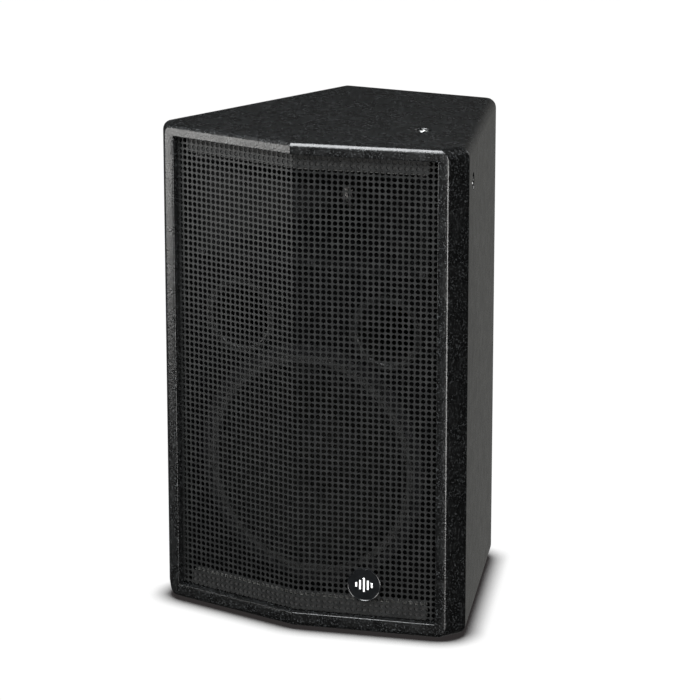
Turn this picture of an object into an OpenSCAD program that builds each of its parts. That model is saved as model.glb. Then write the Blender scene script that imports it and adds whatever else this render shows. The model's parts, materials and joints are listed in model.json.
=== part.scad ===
// Compact two-way loudspeaker cabinet: a 12 inch woofer and a horn behind a folded steel grille.
// Millimetres. +Z is up and -Y is the front. The origin is on the floor under the middle of the box.
// Inside place(), x = 0 is the middle, y = 0 is the front ridge and z = 0 is the cabinet's lower edge.

/* [Cabinet] */
// Height of the wooden cabinet
cab_h = 620; // [600:1:660]
// Width over the front corners
front_w = 388; // [384:1:400]
// Width over the widest corners, behind the front facets
wide_w = 420; // [416:1:440]
// Width over the back corners
back_w = 218; // [210:1:240]
// Depth from the front ridge to the back
cab_d = 382; // [375:1:400]
// How far the front facets run back
facet_d = 26; // [20:1:28]
// Angle at which each half of the front slopes back from the ridge
fold_angle = 11.1; // [9:0.1:12]
// Thickness of the top, sides, back and baffle
board = 15; // [15:0.5:18]
// Thickness of the bottom panel, which carries the stand socket
base_board = 18; // [15:0.5:18]
// Radius of the front's upper and lower outer edges
edge_r = 6; // [4:0.5:12]
// Radius of the upper and lower outer edges everywhere else
side_edge_r = 13; // [6:0.5:14]
// Distance from the ridge to the front of the baffle
baffle_y = 63; // [60:1:66]

/* [Grille] */
// Width of the frame beside the grille, along the slope
frame_w = 13.4; // [11:0.1:15]
// How far the grille's face lies behind the frame's face
grille_recess = 10; // [6:0.5:11]
// Thickness of the steel sheet
grille_t = 1.5; // [1:0.1:2]
// Gap between the grille's edges and the frame
grille_gap = 0.6; // [0.4:0.1:2]
// Height of the cleats behind the grille's upper and lower edges
cleat_h = 20; // [14:1:24]
// Diameter of the round badge
badge_d = 43; // [30:1:44]

/* [Woofer] */
// Height of the woofer's centre above the cabinet's lower edge
woofer_z = 198; // [190:1:200]
// Outer diameter of the woofer's frame
woofer_d = 310; // [305:1:312]
// Diameter of the circle of woofer bolts
woofer_pcd = 294; // [292:1:296]
// Number of woofer bolts
woofer_bolt_count = 8; // [4:1:8]

/* [Horn and ports] */
// Height of the horn's centre
horn_z = 519; // [515:1:520]
// Width of the horn's mouth
mouth_w = 297; // [280:1:300]
// Height of the horn's mouth
mouth_h = 109; // [90:1:112]
// Diameter of the horn's throat
throat_d = 25.4; // [20:0.1:26]
// Height of the ports' centres
port_z = 378; // [376:1:382]
// Distance of each port from the middle
port_x = 101; // [100:1:108]
// Inner diameter of the ports
port_d = 77; // [60:1:78]
// Length of the ports
port_l = 110; // [80:5:120]

/* [Fixing points and fittings] */
// Tapping bore of the M8 fixing points
fly_bore = 6.8; // [6.6:0.1:7]
// Bore of the stand socket
pole_bore = 35.8; // [35.2:0.1:36]
// Height of the rubber feet
foot_h = 4; // [3:0.5:8]

/* [Hidden] */
$fn = 96;
cut = 1;          // how far a cutter runs past a face
play = 0.15;      // radial clearance round a screw

// Plan of the cabinet
front_y = front_w / 2 * tan(fold_angle);
wide_y = front_y + facet_d;
side_angle = atan((wide_w - back_w) / 2 / (cab_d - wide_y));
side_dir = [-sin(side_angle), cos(side_angle)];
side_out = [cos(side_angle), sin(side_angle)];
board_x = board / cos(side_angle);
slope = [cos(fold_angle), sin(fold_angle)];
inward = [-sin(fold_angle), cos(fold_angle)];
front_corner = [front_w / 2, front_y];
wide_corner = [wide_w / 2, wide_y];
back_corner = [back_w / 2, cab_d];
back_corner_r = 14;
baffle_back = baffle_y + board;
back_inner = cab_d - board;
inner_top = cab_h - board;
// Half widths of the inside at a depth y
function inner_x(y) = wide_w / 2 - board_x - (y - wide_y) * tan(side_angle);

// Grille, measured along the slope from the ridge
opening_u = front_w / 2 / cos(fold_angle) - frame_w;
grille_u = opening_u - grille_gap;
grille_z0 = base_board + 1;
grille_z1 = inner_top - 1;
flange_d = 11;
foam_t = 3;
opening_edge = slope * opening_u;
opening_back = opening_edge + inward * (grille_recess + flange_d + 2);
grille_screw_z = [60, cab_h / 2, cab_h - 60];

// Woofer depths
flange_t = 6;
flange_y = baffle_y - flange_t;
basket_hole_r = 142;
surround_out_r = 132;
surround_in_r = 114;
trim_out_r = 141.5;
trim_in_r = 133;
cone_neck_r = 33;
cone_depth = 58;
cone_t = 1.5;
coil_r = 32;
pole_r = 30.5;
gap_r = 34.6;
plate_y = flange_y + 80;
plate_t = 8;
magnet_t = 20;
magnet_r = 78;
cap_r = 50;
cap_rise = 12;
dome_r = (cap_r * cap_r + cap_rise * cap_rise) / 2 / cap_rise;
cone_slope = (cone_depth - 1) / (surround_in_r - cone_neck_r);
cap_y = flange_y + (surround_in_r - cap_r) * cone_slope - 0.1;
woofer_bolt_angles = [for (i = [0 : woofer_bolt_count - 1]) (i + 0.5) * 360 / woofer_bolt_count];

// Horn and compression driver depths
horn_flange_w = 322;
horn_flange_h = 136;
horn_flange_t = 5;
horn_flange_y = baffle_y - horn_flange_t;
throat_y = baffle_y + 105;
horn_wall = 3;
driver_pcd = 76;
driver_r = 46;
driver_plate_t = 8;
driver_magnet_t = 15;
hf_coil_r = 22;
hf_dome_rise = 8;
hf_dome_sphere = (hf_coil_r * hf_coil_r + hf_dome_rise * hf_dome_rise) / 2 / hf_dome_rise;
horn_screw_places = [for (x = [-152, 0, 152], z = [-61, 61]) [x, horn_z + z]];

// Fittings
port_wall = 3;
port_flange_r = port_d / 2 + 9.5;
fly_recess_r = 10.6;
fly_recess = 3;
fly_flange_t = 2.5;
fly_barrel_r = 6;
top_fly = [114, 140];
bottom_fly = [-80, 270];
side_fly_u = 45;
side_fly_z = cab_h - 50;
back_fly_z = cab_h - 90;
pole_y = 178;
pole_depth = 82;
pole_flange_r = 50;
pole_screw_pcd = 84;
plate_w = 136;
plate_h = 116;
plate_z = 128;
dish_w = 104;
dish_h = 86;
dish_d = 24;
plate_t_rear = 2.5;
socket_z = [plate_z + 20, plate_z - 20];
socket_r = 11.9;
board_z = 290;
board_w = 130;
board_h = 110;
standoff_l = 8;
crossover_y = back_inner - standoff_l - 1.6;
foot_places = [[-140, 75], [140, 75], [-82, 335], [82, 335]];
foot_r = 14;

// ---- helpers ----
module place() translate([0, -cab_d / 2, foot_h]) children();
module both_sides() for (side = [0, 1]) mirror([side, 0, 0]) children();
// Turns a shape drawn along +Z so that it points along +Y at depth y and height z
module facing_back(x, y, z) translate([x, y, z]) rotate([-90, 0, 0]) children();
module ring(r_out, r_in, h) difference() {
  cylinder(r = r_out, h = h);
  translate([0, 0, -cut]) cylinder(r = r_in, h = h + 2 * cut);
}
module slab(outline_z0, outline_z1) translate([0, 0, outline_z0])
  linear_extrude(outline_z1 - outline_z0) children();
module pan_screw(head_r, head_h, shank_r, length) {
  cylinder(r = shank_r, h = length);
  translate([0, 0, -head_h]) difference() {
    cylinder(r = head_r, h = head_h);
    translate([0, 0, -cut]) cylinder(r = head_r * 0.45, h = head_h * 0.6 + cut, $fn = 6);
  }
}
// ---- cabinet plan ----
// What is taken off the back corner to round it
module corner_cut() {
  turn = 90 - side_angle;
  reach = back_corner_r * tan(turn / 2);
  centre = [back_corner.x - reach, cab_d - back_corner_r];
  difference() {
    polygon([back_corner + [cut, cut], [centre.x, cab_d + cut], [centre.x, cab_d], centre,
      back_corner - side_dir * reach, back_corner - side_dir * reach + [cut, 0]]);
    translate(centre) circle(r = back_corner_r);
  }
}
// The plan with its front and its other sides moved inwards; the facets run on past the front
module plan(front_inset, side_inset) {
  ahead = front_corner + 3 * (front_corner - wide_corner);
  half = [ahead, wide_corner, back_corner];
  wedge_end = slope * front_w;
  intersection() {
    offset(delta = -side_inset) difference() {
      polygon(concat(half, [for (i = [2 : -1 : 0]) [-half[i].x, half[i].y]]));
      both_sides() corner_cut();
    }
    offset(delta = -front_inset) polygon([
      [0, 0], wedge_end, [wedge_end.x, 2 * cab_d], [-wedge_end.x, 2 * cab_d], [-wedge_end.x, wedge_end.y]
    ]);
  }
}
// How far a rounded edge stands back at a height above its outer face
function round_inset(r, z) = z >= r ? 0 : r - sqrt(r * r - (r - z) * (r - z));
// A panel whose outer edges are rounded on its outer face
module edged_panel(thickness) hull() for (r = [edge_r, side_edge_r], a = [0 : 15 : 90])
  translate([0, 0, r * (1 - sin(a))]) linear_extrude(thickness - r * (1 - sin(a)))
    plan(round_inset(edge_r, r * (1 - sin(a))), round_inset(side_edge_r, r * (1 - sin(a))));
module side_plan() polygon([
  wide_corner, back_corner, [back_corner.x - board_x, cab_d], [wide_corner.x - board_x, wide_y]
]);
module post_plan() polygon([
  front_corner, wide_corner, [wide_corner.x - board_x, wide_y], [inner_x(baffle_y), baffle_y],
  [opening_back.x, baffle_y], opening_back, opening_edge
]);

// ---- fixing points: each child is drawn along +Z, from the outer face inwards ----
module at_fly_points() {
  place() {
    translate([top_fly.x, top_fly.y, cab_h]) mirror([0, 0, 1]) children();
    translate([bottom_fly.x, bottom_fly.y, 0]) children();
    both_sides() side_fly() children();
    translate([0, cab_d, back_fly_z]) rotate([90, 0, 0]) children();
  }
}
module side_fly() translate([wide_corner.x + side_dir.x * side_fly_u,
  wide_corner.y + side_dir.y * side_fly_u, side_fly_z]) rotate([0, -90, side_angle]) children();
module fly_hole() {
  translate([0, 0, -cut]) cylinder(r = fly_recess_r, h = fly_recess + fly_flange_t + cut);
  cylinder(r = fly_barrel_r, h = base_board + cut);
}
module fly_insert() difference() {
  union() {
    translate([0, 0, fly_recess]) cylinder(r = fly_recess_r, h = fly_flange_t);
    translate([0, 0, fly_recess]) cylinder(r = fly_barrel_r, h = board - fly_recess);
  }
  translate([0, 0, -cut]) cylinder(d = fly_bore, h = board + 3 * cut);
}

// ---- wooden parts ----
module top_panel() color("#262626") difference() {
  place() translate([0, 0, cab_h]) mirror([0, 0, 1]) edged_panel(board);
  at_fly_points() fly_hole();
}
module bottom_panel() color("#262626") difference() {
  place() edged_panel(base_board);
  at_fly_points() fly_hole();
  place() translate([0, pole_y, -cut]) cylinder(r = pole_bore / 2 + 3.2, h = base_board + 2 * cut);
  place() translate([0, pole_y, -cut]) cylinder(r = pole_flange_r + 0.5, h = 3 + cut);
  pole_screws_at() cylinder(r = 2 + play, h = base_board);
  feet_at() cylinder(r = 2 + play, h = base_board);
}
module side_panel() difference() {
  place() slab(base_board, inner_top) side_plan();
  place() slab(base_board - cut, inner_top + cut) corner_cut();
  at_fly_points() fly_hole();
}
module right_side_panel() color("#4b4b4a") side_panel();
module left_side_panel() color("#4b4b4a") mirror([1, 0, 0]) side_panel();
module front_post() difference() {
  place() slab(base_board, inner_top) post_plan();
  for (z = grille_screw_z) grille_screw_at(z) translate([0, 0, -cut]) cylinder(r = 1.5 + play, h = 14);
}
module right_front_post() color("#1f1f1f") front_post();
module left_front_post() color("#1f1f1f") mirror([1, 0, 0]) front_post();
module back_panel() color("#2a2a2a") difference() {
  place() slab(base_board, inner_top) polygon([
    [-inner_x(cab_d), cab_d], [inner_x(cab_d), cab_d],
    [inner_x(back_inner), back_inner], [-inner_x(back_inner), back_inner]
  ]);
  at_fly_points() fly_hole();
  place() translate([0, cab_d - plate_t_rear - 1, plate_z]) rotate([-90, 0, 0])
    rounded_box(plate_w + 1, plate_h + 1, 8, plate_t_rear + 1 + cut);
  place() translate([0, back_inner - cut, plate_z]) rotate([-90, 0, 0])
    rounded_box(dish_w + 7, dish_h + 7, 8, board + 2 * cut);
  input_screws_at() cylinder(r = 1.9 + play, h = 13);
  standoffs_at() translate([0, 0, -8]) cylinder(r = 1.5 + play, h = 9);
}
module rounded_box(w, h, r, depth) {
  linear_extrude(depth) union() {
    square([w - 2 * r, h], center = true);
    square([w, h - 2 * r], center = true);
    for (x = [-1, 1], y = [-1, 1]) translate([x * (w / 2 - r), y * (h / 2 - r)]) circle(r = r);
  }
}
module baffle() color("#1c1c1c") difference() {
  place() slab(base_board, inner_top) polygon([
    [-inner_x(baffle_y), baffle_y], [inner_x(baffle_y), baffle_y],
    [inner_x(baffle_back), baffle_back], [-inner_x(baffle_back), baffle_back]
  ]);
  place() {
    facing_back(0, baffle_y - cut, woofer_z) cylinder(r = basket_hole_r, h = board + 2 * cut);
    both_sides() facing_back(port_x, baffle_y - cut, port_z)
      cylinder(r = port_d / 2 + port_wall, h = board + 2 * cut);
    facing_back(0, baffle_y - cut, horn_z)
      rounded_box(mouth_w + 8, mouth_h + 6, 14, board + 2 * cut);
  }
  woofer_bolts_at() cylinder(r = 2.5 + play, h = 24);
  horn_screws_at() cylinder(r = 2.1 + play, h = 22);
}
brace_z = 432;
brace_t = 15;
module brace() color("#a98a5e") difference() {
  place() slab(brace_z, brace_z + brace_t) polygon([
    [-inner_x(baffle_back), baffle_back], [inner_x(baffle_back), baffle_back],
    [inner_x(back_inner), back_inner], [-inner_x(back_inner), back_inner]
  ]);
  place() slab(brace_z - cut, brace_z + brace_t + cut) polygon([
    [-110, baffle_back + 45], [110, baffle_back + 45], [62, back_inner - 45], [-62, back_inner - 45]
  ]);
}
// A V-shaped strip that follows the grille's back
module v_strip(from_y, to_y, half_u) {
  front_end = slope * half_u + inward * from_y;
  back_end = slope * half_u + inward * to_y;
  polygon([
    [0, from_y / cos(fold_angle)], front_end, back_end, [0, to_y / cos(fold_angle)],
    [-back_end.x, back_end.y], [-front_end.x, front_end.y]
  ]);
}
cleat_y0 = grille_recess + grille_t + foam_t;
cleat_y1 = cleat_y0 + 12;
module cleat(z) color("#6b6b68") place() slab(z, z + cleat_h) v_strip(cleat_y0, cleat_y1, grille_u - flange_d - 4);
module top_grille_cleat() cleat(inner_top - cleat_h);
module bottom_grille_cleat() cleat(base_board);
module grille_foam() color("#4a4a48") place() for (z = [base_board, inner_top - cleat_h])
  slab(z + 1, z + cleat_h - 1) v_strip(grille_recess + grille_t + 0.05, cleat_y0, grille_u - flange_d - 4);

// ---- grille ----
// The folded sheet's plan, with a flange at each side
module grille_plan() {
  flange_back = grille_recess + flange_d;
  half = [
    slope * grille_u + inward * grille_recess, slope * grille_u + inward * flange_back,
    slope * (grille_u - grille_t) + inward * flange_back,
    slope * (grille_u - grille_t) + inward * (grille_recess + grille_t)
  ];
  polygon(concat([[0, grille_recess / cos(fold_angle)]], half,
    [[0, (grille_recess + grille_t) / cos(fold_angle)]], [for (i = [3 : -1 : 0]) [-half[i].x, half[i].y]]));
}
module grille() color("#3a3a3a") difference() {
  place() slab(grille_z0, grille_z1) grille_plan();
  both_sides() for (z = grille_screw_z) grille_screw_at(z) translate([0, 0, -6]) cylinder(r = 1.5 + play, h = 12);
}
// Along the slope, from the inner face of the grille's right flange outwards
module grille_screw_at(z) place() rotate([0, 0, fold_angle])
  translate([grille_u - grille_t, grille_recess + flange_d - 4, z]) rotate([0, 90, 0]) children();
module grille_screws() color("#151515") both_sides() for (z = grille_screw_z)
  grille_screw_at(z) pan_screw(2.8, 1.6, 1.5, 12);
badge_u = 91.5;
badge_z = 59.5;
badge_t = 2.5;
module at_badge(depth) place() rotate([0, 0, fold_angle]) translate([badge_u, grille_recess - depth, badge_z])
  rotate([-90, 0, 0]) children();
module badge() color("#2b2e30") at_badge(badge_t) difference() {
  cylinder(d = badge_d, h = badge_t);
  translate([0, 0, -cut]) cylinder(d = badge_d - 3, h = 0.6 + cut);
}
emblem_bars = [6, 12, 18, 12, 6];
module badge_emblem() color("#d5d8d8") at_badge(badge_t) for (i = [0 : 4])
  translate([(i - 2) * 5 - 1.2, -emblem_bars[i] / 2, 0]) cube([2.4, emblem_bars[i], 0.6]);

// ---- woofer ----
module at_woofer(y) place() facing_back(0, y, woofer_z) children();
module woofer_bolts_at() for (a = woofer_bolt_angles) at_woofer(flange_y) rotate([0, 0, a])
  translate([woofer_pcd / 2, 0, 0]) children();
module woofer_basket() color("#2c2c2d") difference() {
  at_woofer(flange_y) union() {
    ring(woofer_d / 2, surround_out_r, flange_t);
    rotate_extrude() polygon([[surround_out_r, 4], [basket_hole_r - 0.5, 4], [basket_hole_r - 0.5, 26],
      [surround_out_r + 2, 26], [surround_out_r, 20]]);
    translate([0, 0, 68]) ring(84, 62, 3);
    translate([0, 0, 71]) ring(84, 73, 6);
    translate([0, 0, 77]) ring(84, 50, 3);
    for (a = [0 : 60 : 300]) rotate([0, 0, a]) translate([0, 7, 0]) rotate([90, 0, 0])
      linear_extrude(14) polygon([[basket_hole_r - 1, 22], [basket_hole_r - 1, 30], [84, 80],
        [80, 80], [80, 70], [surround_out_r + 2, 22]]);
  }
  woofer_bolts_at() translate([0, 0, -cut]) cylinder(r = 2.6 + play, h = flange_t + 2 * cut);
}
module woofer_trim_ring() color("#1b1b1b") at_woofer(flange_y - 4.5) ring(trim_out_r, trim_in_r, 3.5);
module woofer_surround() color("#121212") at_woofer(flange_y) rotate_extrude() union() {
  translate([surround_out_r - 1, -1]) square([9, 1]);
  translate([(surround_out_r + surround_in_r) / 2, 0]) difference() {
    circle(r = 9);
    circle(r = 8);
    translate([-10, 0]) square([20, 10]);
  }
  translate([surround_in_r - 4, -1]) square([5, 1]);
}
module woofer_cone() color("#242424") at_woofer(flange_y) rotate_extrude() polygon([
  [surround_in_r, 0], [surround_in_r, cone_t], [cone_neck_r, cone_depth + cone_t],
  [cone_neck_r, cone_depth - 1]
]);
module woofer_dust_cap() color("#1a1a1a") at_woofer(cap_y) intersection() {
  translate([0, 0, -cap_rise - 1.2]) cylinder(r = cap_r, h = cap_rise + 1.2);
  difference() {
    translate([0, 0, dome_r - cap_rise - 1.2]) sphere(r = dome_r);
    translate([0, 0, dome_r - cap_rise]) sphere(r = dome_r);
  }
}
module woofer_voice_coil() color("#b3743a") at_woofer(flange_y) difference() {
  union() {
    translate([0, 0, cone_depth - 4]) cylinder(r = coil_r + 0.6, h = 48);
    translate([0, 0, cone_depth + 28]) cylinder(r = coil_r + 1.6, h = 16);
  }
  translate([0, 0, 0]) cylinder(r = coil_r - 0.2, h = 120);
}
spider_in_r = coil_r + 0.8;
spider_out_r = 72;
spider_waves = 6;
spider_step = (spider_out_r - 5 - spider_in_r - 4) / spider_waves / 2;
function spider_line(lift) = [for (i = [0 : 2 * spider_waves])
  [spider_in_r + 4 + i * spider_step, lift + (i % 2 == 0 ? 0 : -4)]];
module woofer_spider() color("#b99a52") at_woofer(flange_y + 67) rotate_extrude() polygon(concat(
  [[spider_in_r, 0]], spider_line(0), [[spider_out_r, 0], [spider_out_r, 1]],
  [for (i = [2 * spider_waves : -1 : 0]) spider_line(1)[i]], [[spider_in_r, 1]]
));
module woofer_top_plate() color("#8f9294") at_woofer(plate_y) ring(68, gap_r, plate_t);
module woofer_magnet() color("#3a3a3c") at_woofer(plate_y + plate_t) ring(magnet_r, 41, magnet_t);
module woofer_back_plate() color("#8f9294") at_woofer(plate_y) difference() {
  union() {
    translate([0, 0, plate_t + magnet_t]) cylinder(r = 72, h = plate_t);
    translate([0, 0, 1]) cylinder(r = pole_r, h = plate_t + magnet_t + 2);
  }
  translate([0, 0, -cut]) cylinder(r = 11, h = 60);
}
module woofer_bolts() color("#1d1d1f") woofer_bolts_at() pan_screw(5, 3.5, 2.5, 22);
module woofer_terminals() color("#7a2a22") place() for (x = [-1, 1])
  translate([x * 9 - 3, baffle_y + 62, woofer_z + 84.5]) cube([6, 12, 9]);

// ---- horn and compression driver ----
module horn_screws_at() for (p = horn_screw_places) place() facing_back(p[0], horn_flange_y, p[1]) children();
module flare(grow) {
  hull() {
    facing_back(0, horn_flange_y - (grow ? 0 : cut), horn_z)
      rounded_box(mouth_w + 2 * grow, mouth_h + 2 * grow, 10, 1);
    facing_back(0, baffle_y + 45, horn_z) rounded_box(120 + 2 * grow, 58 + 2 * grow, 8, 0.1);
  }
  hull() {
    facing_back(0, baffle_y + 45, horn_z) rounded_box(120 + 2 * grow, 58 + 2 * grow, 8, 0.1);
    facing_back(0, throat_y - 0.1, horn_z) cylinder(d = throat_d + 2 * grow, h = grow ? 0.1 : 0.1 + cut, $fn = 48);
  }
}
module horn_flare() color("#101010") difference() {
  place() union() {
    flare(horn_wall);
    facing_back(0, horn_flange_y, horn_z) rounded_box(horn_flange_w, horn_flange_h, 14, horn_flange_t - 1);
    facing_back(0, throat_y - 7, horn_z) cylinder(r = driver_r, h = 7);
  }
  place() flare(0);
  horn_screws_at() translate([0, 0, -cut]) cylinder(r = 2.1 + play, h = 12);
  driver_screws_at() translate([0, 0, -cut - 8]) cylinder(r = 2.5 + play, h = 12);
}
module horn_gasket() color("#2f2f2f") difference() {
  place() facing_back(0, baffle_y - 1, horn_z) difference() {
    rounded_box(horn_flange_w, horn_flange_h, 14, 1);
    translate([0, 0, -cut]) rounded_box(mouth_w + 8, mouth_h + 8, 14, 1 + 2 * cut);
  }
  horn_screws_at() cylinder(r = 2.1 + play, h = 12);
}
module horn_screws() color("#1d1d1f") horn_screws_at() pan_screw(4.2, 2.8, 2.1, 20);
module at_driver(depth) place() facing_back(0, throat_y + depth, horn_z) children();
module driver_screws_at() for (a = [90, 210, 330]) at_driver(0) rotate([0, 0, a])
  translate([driver_pcd / 2, 0, 0]) children();
module driver_front_plate() color("#77797b") difference() {
  at_driver(0) difference() {
    union() {
      cylinder(r = driver_r, h = driver_plate_t);
      translate([0, 0, driver_plate_t]) cylinder(r = hf_coil_r - 1, h = driver_magnet_t - 0.5);
    }
    translate([0, 0, -cut]) cylinder(d1 = throat_d - 0.4, d2 = 37, h = driver_plate_t + driver_magnet_t + cut);
  }
  driver_screws_at() translate([0, 0, -cut]) cylinder(r = 2.5 + play, h = 7);
}
module driver_magnet() color("#39393b") at_driver(driver_plate_t) ring(48, 27, driver_magnet_t - 6);
module driver_top_plate() color("#77797b") at_driver(driver_plate_t + driver_magnet_t - 6) ring(45, hf_coil_r + 1.2, 5.4);
module driver_phase_plug() color("#202022") at_driver(driver_plate_t + driver_magnet_t - 8) {
  cylinder(r1 = 2, r2 = 7, h = 7.4);
  difference() {
    cylinder(r1 = 10, r2 = 12, h = 7.4);
    translate([0, 0, -cut]) cylinder(r1 = 7.8, r2 = 10.2, h = 7.4 + 2 * cut);
  }
  for (a = [0, 120, 240]) rotate([0, 0, a]) translate([3, -0.8, 2]) cube([12.4, 1.6, 3]);
}
module hf_diaphragm() color("#b9bcc0") at_driver(driver_plate_t + driver_magnet_t) {
  translate([0, 0, -4]) ring(hf_coil_r + 0.35, hf_coil_r - 0.1, 5.2);
  intersection() {
    translate([0, 0, 0.4]) cylinder(r = hf_coil_r + 0.1, h = hf_dome_rise + 1);
    difference() {
      translate([0, 0, 0.8 + hf_dome_rise - hf_dome_sphere]) sphere(r = hf_dome_sphere);
      translate([0, 0, 0.5 + hf_dome_rise - hf_dome_sphere]) sphere(r = hf_dome_sphere);
    }
  }
}
module hf_suspension() color("#c7a65a") at_driver(driver_plate_t + driver_magnet_t + 0.4) ring(28, hf_coil_r + 0.4, 0.4);
module driver_clamp_ring() color("#2a2a2a") at_driver(driver_plate_t + driver_magnet_t + 0.8) ring(34, 26, 3);
module driver_rear_cap() color("#1c1c1d") at_driver(driver_plate_t + driver_magnet_t - 0.6) difference() {
  union() {
    cylinder(r = 44, h = 22);
    translate([0, 0, 22]) cylinder(r1 = 44, r2 = 40, h = 4);
  }
  translate([0, 0, -cut]) cylinder(r = 36, h = 22 + cut);
  translate([39, -3, -cut]) cube([8, 6, 4]);
}
module driver_screws() color("#1d1d1f") driver_screws_at() translate([0, 0, -7])
  pan_screw(4.2, 3.2, 2.5, 12);

// ---- ports ----
module port_tube() place() facing_back(port_x, baffle_y - 3, port_z) difference() {
  union() {
    cylinder(r = port_flange_r, h = 3);
    cylinder(r = port_d / 2 + port_wall - 0.1, h = port_l);
  }
  translate([0, 0, -cut]) cylinder(r = port_d / 2, h = port_l + 2 * cut);
  translate([0, 0, -0.01]) rotate_extrude() difference() {
    square([port_d / 2 + 4, 4]);
    translate([port_d / 2 + 4, 4]) circle(r = 4);
  }
}
module right_port_tube() color("#141414") port_tube();
module left_port_tube() color("#141414") mirror([1, 0, 0]) port_tube();

// ---- crossover ----
module standoffs_at() for (x = [-1, 1], z = [-1, 1])
  place() translate([x * (board_w / 2 - 8), back_inner, board_z + z * (board_h / 2 - 8)])
    rotate([90, 0, 0]) children();
module crossover_standoffs() color("#d8d8d2") standoffs_at() {
  cylinder(r = 3.5, h = standoff_l, $fn = 6);
  translate([0, 0, -8]) cylinder(r = 1.5, h = standoff_l + 10);
  translate([0, 0, standoff_l + 1.6]) cylinder(r = 2.8, h = 2);
}
module crossover_board() color("#1f5a34") difference() {
  place() translate([-board_w / 2, crossover_y, board_z - board_h / 2]) cube([board_w, 1.6, board_h]);
  standoffs_at() translate([0, 0, standoff_l - cut]) cylinder(r = 1.5 + play, h = 5);
}
// Draws along -Y from the board's face, x and z measured from the board's middle
module on_board(x, z) place() translate([x, crossover_y, board_z + z]) rotate([90, 0, 0]) children();
module crossover_inductors() color("#b06a35") {
  on_board(-34, 22) ring(24, 11, 22);
  on_board(30, 26) ring(17, 8, 16);
}
module crossover_capacitors() color("#c8b02e") for (p = [[-38, -24, 10], [-12, -34, 8], [6, -34, 8]])
  on_board(p[0], p[1] - 14) translate([0, 0, p[2]]) rotate([-90, 0, 0]) cylinder(r = p[2], h = 28);
module crossover_resistors() color("#e8e4da") for (z = [-40, -26])
  on_board(22, z) cube([34, 8, 8]);

// ---- rear input plate ----
module input_screws_at() for (x = [-1, 1], z = [-1, 1])
  place() translate([x * (plate_w / 2 - 6), cab_d - plate_t_rear, plate_z + z * (plate_h / 2 - 6)])
    rotate([90, 0, 0]) children();
module input_plate() color("#1a1a1a") difference() {
  place() translate([0, cab_d, plate_z]) rotate([90, 0, 0]) difference() {
    union() {
      rounded_box(plate_w, plate_h, 8, plate_t_rear);
      rounded_box(dish_w + 6, dish_h + 6, 7, dish_d + 3);
    }
    translate([0, 0, -cut]) rounded_box(dish_w, dish_h, 4, dish_d + cut);
  }
  for (z = socket_z) at_socket(z) translate([0, 0, -1]) cylinder(r = socket_r + 0.1, h = 20);
  input_screws_at() translate([0, 0, -2 * plate_t_rear]) cylinder(r = 1.9 + play, h = 4 * plate_t_rear);
  input_screws_at() translate([0, 0, -plate_t_rear]) cylinder(r1 = 3.4 + play, r2 = 1.9 + play, h = 1.6);
}
module input_plate_gasket() color("#303030") difference() {
  place() translate([0, cab_d - plate_t_rear, plate_z]) rotate([90, 0, 0]) difference() {
    rounded_box(plate_w, plate_h, 8, 1);
    translate([0, 0, -cut]) rounded_box(dish_w + 7, dish_h + 7, 8, 1 + 2 * cut);
  }
  input_screws_at() translate([0, 0, -cut]) cylinder(r = 1.9 + play, h = 4);
}
module input_plate_screws() color("#1d1d1f") input_screws_at() {
  cylinder(r = 1.9, h = 12);
  translate([0, 0, -plate_t_rear]) cylinder(r1 = 3.4, r2 = 1.9, h = 1.6);
  translate([0, 0, -plate_t_rear + 1.6]) cylinder(r = 1.9, h = 1);
}
// Drawn along -Y from the dish's floor inwards
module at_socket(z) place() translate([0, cab_d - dish_d, z]) rotate([90, 0, 0]) children();
module speaker_socket(z) at_socket(z) difference() {
  union() {
    cylinder(r = socket_r, h = 26);
    translate([-13, -15.5, -3]) cube([26, 31, 3]);
    for (x = [-5, 5], y = [-5, 5]) translate([x - 2.4, y - 0.4, 26]) cube([4.8, 0.8, 7]);
  }
  translate([0, 0, -4]) cylinder(r = 10.4, h = 26);
  translate([-2.5, 9, -4]) cube([5, 2.6, 20]);
}
module socket_core(z) at_socket(z) cylinder(r = 5.6, h = 22.1);
module upper_speaker_socket() color("#202022") { speaker_socket(socket_z[0]); socket_core(socket_z[0]); }
module lower_speaker_socket() color("#202022") { speaker_socket(socket_z[1]); socket_core(socket_z[1]); }

// ---- internal wires ----
wire_r = 2;
wire_sides = 8;
// Routes in cabinet coordinates, chosen by hand
wire_routes = [
  [[4, 328, 148], [10, 322, 160], [24, 322, 190], [36, 335, 215], [40, 353, 230]],
  [[-20, 353, 238], [-30, 325, 240], [-40, 280, 260], [-30, 220, 290], [-14, 170, 298], [-9, 141, 292]],
  [[30, 349, 340], [36, 320, 350], [40, 300, 400], [40, 280, 470], [42, 240, 514], [43, 215, 519]]
];
function unit(v) = v / norm(v);
function tangent(path, i) = unit(path[min(i + 1, len(path) - 1)] - path[max(i - 1, 0)]);
function ring_at(path, i) = let (t = tangent(path, i), a = unit(cross(t, [1, 0, 0.02])), b = cross(t, a))
  [for (k = [0 : wire_sides - 1]) path[i] + wire_r * (cos(k * 360 / wire_sides) * a + sin(k * 360 / wire_sides) * b)];
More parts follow.
